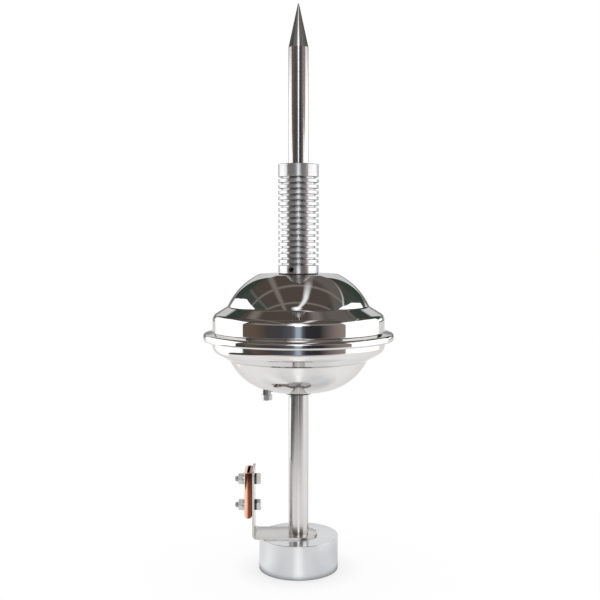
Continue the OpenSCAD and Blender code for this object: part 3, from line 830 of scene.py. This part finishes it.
@dataclass
class MastCoupling:
    """Turned coupling with a threaded socket for the mast, and the nut that holds the rod. Sizes in millimetres."""

    radius: float = 40.0
    height: float = 34.0
    socket: float = 29.0
    socket_depth: float = 17.0
    mouth: float = 1.0
    pocket: float = 18.0
    pocket_top: float = 27.0
    hole: float = 8.1
    thread_pitch: float = 2.309
    thread_depth: float = 1.2
    nut_across: float = 24.0
    nut_height: float = 7.5
    nut_low: float = 17.5
    segments: int = 192

    def build(self) -> None:
        """Turns the coupling, with a helical thread in the socket's wall, and makes the nut above the socket."""
        corners = [(self.socket + self.mouth, 0), (self.radius, 0), (self.radius, self.height),
                   (self.hole, self.height), (self.hole, self.pocket_top), (self.pocket, self.pocket_top),
                   (self.pocket, self.socket_depth), (self.socket, self.socket_depth), (self.socket, self.mouth)]
        base = rounded_outline(corners, [0.3, 0.6, 0.5, 0.3, 0.2, 0.4, 0.3, 0.3, 0.3], Edge.LOOP, 12.0).points
        wall = np.flatnonzero(np.abs(base[:, 0] - self.socket) < 1e-6)
        z = np.linspace(base[wall[0], 1], base[wall[-1], 1], 66)[1:-1]
        at = wall[0] + 1
        rows = np.insert(base, at, np.stack([np.full(len(z), self.socket), z], axis=1), axis=0)
        radius = np.repeat(rows[:, :1], self.segments, axis=1)
        helix = thread(z, self.segments, self.thread_pitch, self.thread_depth) + self.thread_depth / 2
        radius[at:at + len(z)] += helix
        body = shaped(rows, radius, Edge.LOOP)
        lock = nut(self.nut_across, self.hole, self.nut_height).placed(Z_UP, X_SIDE, (0, 0, self.nut_low))
        settle(to_object("coupling_body", body), TURNED, "base_coupling")
        settle(to_object("lock_nut", lock), FASTENER, "rod_lock_nut")


@dataclass
class ConductorClamp:
    """Bent bracket, flattened copper tube and the two bolts that clamp the conductor. Sizes in millimetres."""

    half_width: float = 19.0
    sheet: float = 2.0
    foot: float = 34.0
    outer: float = -46.3
    top: float = 103.4
    bend: float = 2.5
    corner: float = 5.0
    soft: float = 0.35
    bolt_levels: Pair = (64.55, 91.25)
    tube_x: float = -50.3
    tube_half: float = 4.0
    tube_fold: float = 13.0
    tube_wall: float = 2.7
    tube_levels: Pair = (54.9, 100.9)
    tube_corner: float = 3.2
    tube_soft: float = 0.3
    crease_at: float = 296.0
    crease_width: float = 9.0
    crease_depth: float = 0.55

    def bracket(self) -> Patch:
        """Carries the sheet's section from the round end on the axis, round the bend and up to the top edge.

        Half the width is sqrt(width squared - x squared) over the round end, and shrinks by the corner's arc at the
        top. The last rows shrink on all sides by an arc, which softens the top edge.
        """
        h, r = self.half_width, self.bend + self.sheet / 2
        mid_x, mid_z = self.outer + self.sheet / 2, self.foot + self.sheet / 2
        phi = np.radians(np.linspace(4.0, 90.0, 30))
        level_x = np.concatenate([h * np.cos(phi), np.linspace(-4, mid_x + r + 1, 10)])
        arc = np.radians(np.linspace(0.0, 90.0, 13))
        rise = np.concatenate([np.linspace(mid_z + r + 1, self.top - self.corner, 12),
                               self.top - self.corner * (1 - np.sin(np.radians(np.linspace(8, 80, 12))))])
        ease = np.radians(np.linspace(0.0, 80.0, 4))
        rise = np.concatenate([rise, self.top - self.soft * (1 - np.sin(ease))])
        x = np.concatenate([level_x, mid_x + r - r * np.sin(arc), np.full(len(rise), mid_x)])
        z = np.concatenate([np.full(len(level_x), mid_z), mid_z + r - r * np.cos(arc), rise])
        turn = np.concatenate([np.zeros(len(level_x)), arc, np.full(len(rise), math.pi / 2)])
        d = np.clip(self.corner - (self.top - z), 0.0, self.corner)
        wide = h - self.corner + np.sqrt(self.corner ** 2 - d ** 2)
        wide[:len(phi)] = h * np.sin(phi)
        inset = np.zeros(len(x))
        inset[-len(ease):] = self.soft * (1 - np.cos(ease))
        wide[-len(ease):] = h - self.corner
        return self.strip(np.stack([x, z], axis=1), turn, wide - inset, self.sheet / 2 - inset)

    def strip(self, path: Array, turn: Array, half_width: Array, half_thick: Array) -> Patch:
        """Carries a rounded rectangle along a path in the plane of x and z.

        Args:
            path: x and z of the section's middle, one row a section.
            turn: angle of the sheet from level, in radians.
            half_width: half the width along y at each section.
            half_thick: half the thickness at each section.

        Returns:
            The closed strip.
        """
        soft = np.minimum(self.soft, 0.9 * np.minimum(half_width, half_thick))[:, None]
        y, n = rounded_section(half_width[:, None], half_thick[:, None], soft)
        x = path[:, :1] + n * np.sin(turn)[:, None]
        z = path[:, 1:] + n * np.cos(turn)[:, None]
        return loft(np.stack([x, y, z], axis=2), False)

    def tube(self) -> Patch:
        """Carries the tube wall's section round the flattened plan.

        The lower edge lies at low + c - sqrt(c squared - e squared), c the corner's radius and e the distance past
        the corner's middle towards the nearer side. A shallow crease runs down the front fold: the outer side sinks
        by its depth times exp(-(angle off it / its width) squared).
        """
        low, top = self.tube_levels
        a = np.linspace(-90.0, 90.0, 49)
        flat = np.linspace(-self.tube_fold, self.tube_fold, 14)[1:-1]
        face = np.radians(np.concatenate([a + 90.0, np.full(12, 180.0), a + 270.0, np.full(12, 360.0)]))
        y = np.concatenate([np.full(49, self.tube_fold), flat[::-1], np.full(49, -self.tube_fold), flat])
        normal = np.stack([np.cos(face), np.sin(face)], axis=1)
        middle = self.tube_half - self.tube_wall / 2
        path = np.stack([np.full(len(y), self.tube_x), y], axis=1) + middle * normal
        soft, half = self.tube_soft, self.tube_wall / 2 - self.tube_soft
        q = np.radians(np.linspace(0.0, 90.0, 5))
        far, near = soft * np.cos(q), soft * np.sin(q)
        h_top = np.concatenate([near - soft, far - soft])
        h_low = np.concatenate([soft - near, np.zeros(5), soft - far])
        d = np.concatenate([half + far, -half - near, -half - far, np.linspace(-half, half, 7)[1:-1], half + near])
        sink = np.exp(-((np.degrees(face) - self.crease_at) / self.crease_width) ** 2)[:, None]
        d = d[None] - self.crease_depth * sink * (d > 0)
        x, y = path[:, :1] + normal[:, :1] * d, path[:, 1:] + normal[:, 1:] * d
        c = self.tube_corner
        e = np.clip(np.abs(x - self.tube_x) - (self.tube_half - c), 0.0, c)
        z = np.concatenate([np.broadcast_to(top + h_top, (len(path), len(h_top))),
                            (low + c - np.sqrt(c * c - e * e))[:, len(h_top):] + h_low[None]], axis=1)
        return loft(np.stack([x, y, z], axis=2), True)

    def build(self) -> None:
        """Builds the bracket, the tube and two sets of bolt, spring washer, washer and nut."""
        settle(to_object("bent_bracket", self.bracket()), BRUSHED, "conductor_bracket")
        settle(to_object("copper_tube", self.tube()), COPPER, "copper_saddle")
        inner, back = self.outer + self.sheet, self.tube_x - self.tube_half
        away, across = (-1.0, 0.0, 0.0), (0.0, 1.0, 0.0)
        for name, patch, side, x, finish, slot, node in (
                ("clamp_bolt_pair", bolt(10.0, 4.0, 3.0, 22.0, 5.0), Z_UP, inner + 6.0, FASTENER, "fastener_steel",
                 "clamp_bolts"),
                # The spring washers' near-black finish is painted shade.
                ("clamp_spring_pair", split_washer(3.2, 5.5, 2.0), Z_UP, inner + 2.0, SHADE_BLACK_STEEL, "dark_steel",
                 "spring_washers"),
                ("clamp_washer_pair", washer(3.2, 6.0, 1.6, 0.3), Z_UP, back, FASTENER, "fastener_steel",
                 "nut_washers"),
                ("clamp_nut_pair", nut(10.0, 3.1, 5.0), across, back - 1.6, FASTENER, "fastener_steel",
                 "clamp_nuts")):
            pair = joined([patch.placed(away, side, (x, 0.0, level)) for level in self.bolt_levels])
            settle(to_object(name, pair), finish, node)


@dataclass
class TestTerminal:
    """Small bolt under the bowl for the test lead. Sizes in millimetres."""

    x: float = -32.2
    low: float = 171.8
    across: float = 10.0
    head: float = 5.6
    radius: float = 3.0
    length: float = 17.06
    plain: float = 8.0

    def build(self) -> None:
        """Stands the bolt on its head."""
        patch = bolt(self.across, self.head, self.radius, self.length, self.plain)
        stood = patch.placed(Z_UP, X_SIDE, (self.x, 0, self.low))
        settle(to_object("test_bolt", stood), FASTENER, "terminal_bolt")


def mirrored(half: Table) -> Table:
    """Continues a table of negative azimuths with the same colours on the positive side."""
    return (*half, *((-azimuth, colour) for azimuth, colour in reversed(half)))


class Studio:
    """White floor, reflector cards beside the object, a room that polished metal sees, and the camera.

    The tables give colours by azimuth in degrees, the cards' edges depth and height in metres.
    """

    AROUND: Table = (
        (-180, (0.6, 0.6, 0.6)), (-150, (0.3, 0.3, 0.3)), (-128, (0.2, 0.2, 0.2)), (-106, (0.37, 0.36, 0.35)),
        (-90, (0.18, 0.15, 0.13)), (-74, (0.15, 0.11, 0.085)), (-60, (0.14, 0.1, 0.075)), (-47, (0.1, 0.078, 0.065)),
        (-40, (0.07, 0.062, 0.06)), (-23, (0.062, 0.064, 0.075)), (-9, (0.1, 0.105, 0.12)),
        (-5, (0.18, 0.2, 0.25)), (-2.5, (0.42, 0.49, 0.6)), (2, (0.42, 0.49, 0.6)), (5, (0.12, 0.13, 0.16)),
        (10, (0.035, 0.036, 0.042)), (27, (0.03, 0.03, 0.032)), (36, (0.12, 0.1, 0.1)), (48, (0.24, 0.195, 0.18)),
        (60, (0.32, 0.26, 0.24)), (74, (0.3, 0.26, 0.24)), (89, (0.5, 0.48, 0.46)), (106, (0.5, 0.5, 0.5)),
        (128, (0.18, 0.18, 0.18)), (150, (0.3, 0.3, 0.3)), (180, (0.6, 0.6, 0.6)))
    UNDERFOOT: Table = mirrored((
        (-180, (1.0, 1.0, 1.0)), (-75, (0.97, 0.965, 0.96)), (-40, (0.9, 0.89, 0.885)), (-15, (0.89, 0.87, 0.865)),
        (-8, (1.06, 1.05, 1.05))))
    NEAR: Table = (
        (-180, (0.85, 0.86, 0.87)), (-110, (0.8, 0.81, 0.82)), (-75, (1.04, 1.05, 1.05)), (-40, (0.74, 0.75, 0.765)),
        (-13, (0.84, 0.85, 0.86)), (-2.5, (1.18, 1.18, 1.18)), (2.5, (1.18, 1.18, 1.18)), (13, (0.84, 0.85, 0.86)),
        (40, (0.72, 0.73, 0.745)), (75, (0.74, 0.76, 0.78)), (110, (0.62, 0.64, 0.66)), (180, (0.85, 0.86, 0.87)))
    FLANKS: Table = mirrored((
        (-180, (0.5, 0.5, 0.5)), (-165, (0.28, 0.29, 0.285)), (-151, (0.28, 0.29, 0.285)), (-146, (1.9, 1.9, 1.9))))
    LEFT_CARD: Sequence[Pair] = (
        (-0.124, 0.18), (0.0, 0.15), (0.12, 0.036), (0.16, 0.0), (0.276, 0.0), (0.276, 0.216), (0.35, 0.344),
        (0.382, 0.39), (0.186, 0.432), (0.092, 0.465), (0.007, 0.457), (-0.124, 0.448))
    RIGHT_CARD: Sequence[Pair] = (
        (-0.2, 0.17), (0.167, 0.17), (0.168, 0.22), (0.19, 0.36), (0.203, 0.39), (0.121, 0.414), (0.064, 0.439),
        (-0.004, 0.448), (-0.066, 0.465), (-0.2, 0.48))
    RIGHT_FOOT: Sequence[Pair] = ((-0.2, 0.0), (0.165, 0.0), (0.167, 0.17), (-0.2, 0.17))
    CARD_X, CARD_GLOW, FOOT_GLOW = 0.30, 1.5, 0.95
    PIXELS, FOCAL_PIXELS, SENSOR = 600.0, 930.0, 36.0
    CAMERA_AT, CAMERA_DOWN = (0.0015, -0.930, 0.333), 3.7

    @staticmethod
    def turn_ramp(g: Graph, x: object, y: object, table: Table) -> Socket:
        """Colour picked from a table by the azimuth in degrees, counted from the camera's side towards +x."""
        azimuth = g.math("ARCTAN2", x, g.times(y, -1.0))
        return g.ramp(g.span(azimuth, -math.pi, math.pi), [((a + 180.0) / 360.0, colour) for a, colour in table])

    def world(self) -> None:
        """Lights the scene by direction.

        Polished metal sees a pale backdrop behind with a dark gap on each side of it, a low glow on both flanks, a
        dim room in front with one tube lamp, haze above it and a ceiling with beams. The camera sees plain white and
        other surfaces get even light. The steepness of a ray is its rise over its level length.
        """
        made = bpy.data.worlds.new("studio")
        bpy.context.scene.world = made
        made.use_nodes = True
        g = Graph(made.node_tree)
        x, y, z = g.axes(g.node("ShaderNodeTexCoord").outputs["Generated"])
        side, deep = g.math("ABSOLUTE", x), g.math("MAXIMUM", y, 0.001)
        steep = g.math("DIVIDE", z, g.math("MAXIMUM", g.reach(x, y), 0.01))
        haze = g.mix(g.span(y, -0.45, -0.25), (0.34, 0.315, 0.3), (0.05, 0.064, 0.055))
        room = g.mix(g.span(steep, 0.24, 0.42, 0.0, 0.9), self.turn_ramp(g, x, y, self.AROUND), haze)
        seen = g.mix(g.span(steep, 0.6, 0.72), room, self.ceiling(g, x, y, z))
        front = g.math("DIVIDE", side, g.math("MAXIMUM", g.times(y, -1.0), 0.001))
        narrow = g.times(g.span(front, 0.06, 0.09, 1.0, 0.0), g.span(steep, 0.02, 0.06))
        wide = g.times(g.span(front, 0.06, 0.3, 1.0, 0.0), g.span(steep, 0.2, 0.3))
        tube = g.times(g.math("MAXIMUM", narrow, wide), g.span(steep, 0.8, 0.95, 1.0, 0.0))
        seen = g.mix(tube, seen, (1.8, 1.8, 1.86))
        under = g.span(g.math("DIVIDE", z, deep), 0.98, 1.05, 1.0, 0.0)
        spread = g.math("DIVIDE", side, deep)
        gap = g.mix(g.span(z, 0.16, 0.26), (0.3, 0.31, 0.305), (0.05, 0.066, 0.056))
        seen = g.mix(g.times(under, g.span(spread, 0.85, 1.1, 1.0, 0.0)), seen, gap)
        seen = g.mix(g.times(under, g.span(spread, 0.41, 0.45, 1.0, 0.0)), seen, (0.85, 0.85, 0.855))
        flank = g.times(g.span(steep, 0.03, 0.05), g.span(steep, 0.16, 0.22, 1.0, 0.0))
        seen = g.mix(g.times(flank, g.span(y, -0.13, -0.04)), seen, self.turn_ramp(g, x, y, self.FLANKS))
        path = g.node("ShaderNodeLightPath").outputs
        shiny = g.mix(path["Is Glossy Ray"], (0.95, 0.95, 0.95), seen)
        shown = g.mix(path["Is Camera Ray"], shiny, (1.0, 1.0, 1.0))
        light = g.node("ShaderNodeBackground", {"Color": shown, "Strength": 1.0})
        g.node("ShaderNodeOutputWorld", {"Surface": light.outputs["Background"]})

    @staticmethod
    def ceiling(g: Graph, x: object, y: object, z: object) -> Socket:
        """Ceiling in the ray's direction: a dim plane at height 1 with pale beams, a slanted glint and a bent lamp.

        A ray meets the plane at x / z and y / z. The lamp runs along y, bends to the left towards the camera by 0.65
        times the square of the distance past the bend, and ends in a bright spot.

        Args:
            g: the world's graph.
            x: the ray's x.
            y: the ray's y.
            z: the ray's z.

        Returns:
            The colour.
        """
        high = g.math("MAXIMUM", z, 0.05)
        across, along = g.math("DIVIDE", x, high), g.math("DIVIDE", y, high)

        def beam(value: object, middle: float, half: float, soft: float) -> Socket:
            """Mask of a strip: 1 within half of the middle, falling to 0 over the soft edge."""
            return g.span(g.math("ABSOLUTE", g.math("SUBTRACT", value, middle)), half, half + soft, 1.0, 0.0)

        lines = g.math("MAXIMUM", beam(across, -0.42, 0.02, 0.06), beam(along, -0.55, 0.012, 0.05))
        lines = g.math("MAXIMUM", lines, beam(along, 0.13, 0.015, 0.06))
        lines = g.math("MAXIMUM", lines, g.times(beam(across, -0.98, 0.015, 0.06), 0.5))
        plain = g.mix(g.span(g.math("ABSOLUTE", across), 0.7, 1.1), (0.095, 0.075, 0.066), (0.062, 0.076, 0.066))
        slant = g.math("ADD", across, g.times(along, 0.91))
        plain = g.mix(g.times(beam(slant, 1.0, 0.2, 0.2), 0.6), plain, (0.19, 0.175, 0.16))
        seen = g.mix(g.times(lines, 0.85), plain, (0.25, 0.225, 0.205))
        glint = g.times(beam(slant, 1.36, 0.015, 0.07), g.span(along, 0.0, 0.9, 0.9, 0.08))
        seen = g.mix(g.times(glint, g.span(across, 0.3, 0.5)), seen, (0.95, 0.95, 0.95))
        bend = g.math("MAXIMUM", g.math("SUBTRACT", -0.3, along), 0.0)
        lamp = g.math("ADD", across, g.times(g.times(bend, bend), 0.65))
        streak = g.times(beam(lamp, 0.16, 0.02, 0.06), g.span(along, -0.3, 0.4, 0.95, 0.12))
        seen = g.mix(streak, seen, (1.1, 1.1, 1.12))
        off = g.reach(g.times(g.math("ADD", across, 0.05), 0.6), g.math("ADD", along, 0.82))
        return g.mix(g.span(off, 0.03, 0.11, 1.0, 0.0), seen, (1.45, 1.48, 1.55))

    def floor(self) -> None:
        """Flat white floor with a soft shadow, white to the camera further off.

        Polished metal sees a painted contact shadow, a dark ring where the object stands, pale paper with a bright
        strip in the middle, a table's edge that darkens towards the camera, and a dark field on the left.
        """
        corners = np.array([[-2.2, -0.95, 0], [2.2, -0.95, 0], [2.2, 3.0, 0], [-2.2, 3.0, 0]], float)
        piece = to_object("white_floor", Patch(corners, [np.array([[0, 1, 2, 3]])], [corners[:, :2]]))
        made, g = Graph.material("white_paper")
        x, y, _ = g.axes(g.node("ShaderNodeTexCoord").outputs["Object"])
        far = g.reach(x, y)
        path = g.node("ShaderNodeLightPath").outputs
        near, wide = (self.turn_ramp(g, x, y, table) for table in (self.NEAR, self.UNDERFOOT))
        sheet = g.mix(g.span(far, 0.11, 0.18), near, wide)
        table = g.mix(g.span(y, -0.74, -0.58), (0.06, 0.056, 0.055), (0.72, 0.68, 0.66))
        pattern = g.mix(g.span(y, -0.4, -0.36), table, sheet)
        beyond = g.times(g.span(x, -0.45, -0.4, 1.0, 0.0), g.span(y, 0.12, 0.22, 1.0, 0.0))
        pattern = g.mix(beyond, pattern, (0.06, 0.07, 0.062))
        # Painted contact shadow: a dark ring round the object's foot that only polished metal sees.
        pattern = g.mix(g.span(far, 0.041, 0.05), (0.25, 0.25, 0.26), pattern)
        paper = g.node("ShaderNodeBsdfDiffuse", {"Color": (0.93, 0.93, 0.93, 1.0)}).outputs[0]
        clear = g.math("MINIMUM", g.span(far, 0.04, 0.08, 0.6, 1.0), g.span(far, 0.12, 0.42, 0.9, 1.0))
        plain = g.blend(g.times(path["Is Camera Ray"], clear), paper, g.glow((1.0, 1.0, 1.0)))
        mirror = g.times(path["Is Glossy Ray"], g.math("MULTIPLY_ADD", beyond, 0.15, 0.85))
        g.node("ShaderNodeOutputMaterial", {"Surface": g.blend(mirror, plain, g.glow(pattern))})
        piece.data.materials.append(made)

    def card(self, name: str, x: float, edge: Sequence[Pair], grey: float) -> None:
        """Upright reflector card beside the object that only polished metal sees.

        Args:
            name: the card's name.
            x: its distance to the side.
            edge: depth and height of its corners.
            grey: its brightness.
        """
        flat = np.asarray(edge, float)
        piece = to_object(name, Patch(np.insert(flat, 0, x, axis=1), [np.arange(len(flat))[None]], [flat]))
        made, g = Graph.material(name)
        g.node("ShaderNodeOutputMaterial", {"Surface": g.glow((grey, grey, grey))})
        piece.data.materials.append(made)
        piece.visible_camera = piece.visible_diffuse = piece.visible_shadow = piece.visible_transmission = False

    def cards(self) -> None:
        """Stands a card on each side, and under the right one a dimmer foot."""
        self.card("left_card", -self.CARD_X, self.LEFT_CARD, self.CARD_GLOW)
        self.card("right_card", self.CARD_X, self.RIGHT_CARD, self.CARD_GLOW)
        self.card("right_card_foot", self.CARD_X, self.RIGHT_FOOT, self.FOOT_GLOW)

    def lamps(self) -> None:
        """One large soft lamp above, for the shadow under the object."""
        data = bpy.data.lights.new("overhead", "AREA")
        data.shape, data.size, data.size_y, data.energy = "RECTANGLE", 1.2, 1.2, 6.0
        lamp = bpy.data.objects.new("overhead", data)
        lamp.location = (0.0, 0.3, 2.0)
        lamp.visible_glossy = False
        bpy.context.scene.collection.objects.link(lamp)

    def camera(self) -> None:
        """Camera at the photograph's place: 930 mm in front, 333 mm up, looking 3.7 degrees down."""
        data = bpy.data.cameras.new("camera")
        data.sensor_width, data.lens = self.SENSOR, self.SENSOR * self.FOCAL_PIXELS / self.PIXELS
        data.clip_start, data.clip_end = 0.01, 50.0
        made = bpy.data.objects.new("camera", data)
        made.location = self.CAMERA_AT
        made.rotation_euler = (math.radians(90.0 - self.CAMERA_DOWN), 0.0, 0.0)
        bpy.context.scene.collection.objects.link(made)
        bpy.context.scene.camera = made

    def build(self) -> None:
        """Sets up the whole stage."""
        self.world()
        self.floor()
        self.cards()
        self.lamps()
        self.camera()
        bpy.context.scene.view_settings.view_transform = "Standard"


SOLID_FINISHES: Dict[Finish, Sequence[str]] = {
    FASTENER: ("rod_lock_washer", "bowl_washer", "bowl_nut", "unit_nut", "dome_washer", "dome_nut", "terminal_collar",
               "terminal_nut"),
    NYLON: ("upper_insulator", "bowl_pad", "dome_pad", "terminal_seat"),
    RESIN: ("pulse_unit",),
    BRONZE: ("contact_spring",),
    RUBBER: ("rim_seal",),
    SHADE_BLACK_STEEL: ("set_screw",),
}


def main() -> None:
    """Builds the stage and every piece and dresses the solids."""
    logging.basicConfig(level=logging.INFO, format="%(name)s: %(message)s")
    for part in (Studio, TipRod, FinnedSleeve, ChargeBody, SupportRod, MastCoupling, ConductorClamp, TestTerminal):
        part().build()
    for finish, nodes in SOLID_FINISHES.items():
        for node in nodes:
            dress(node, finish)


if __name__ == "__main__":
    main()
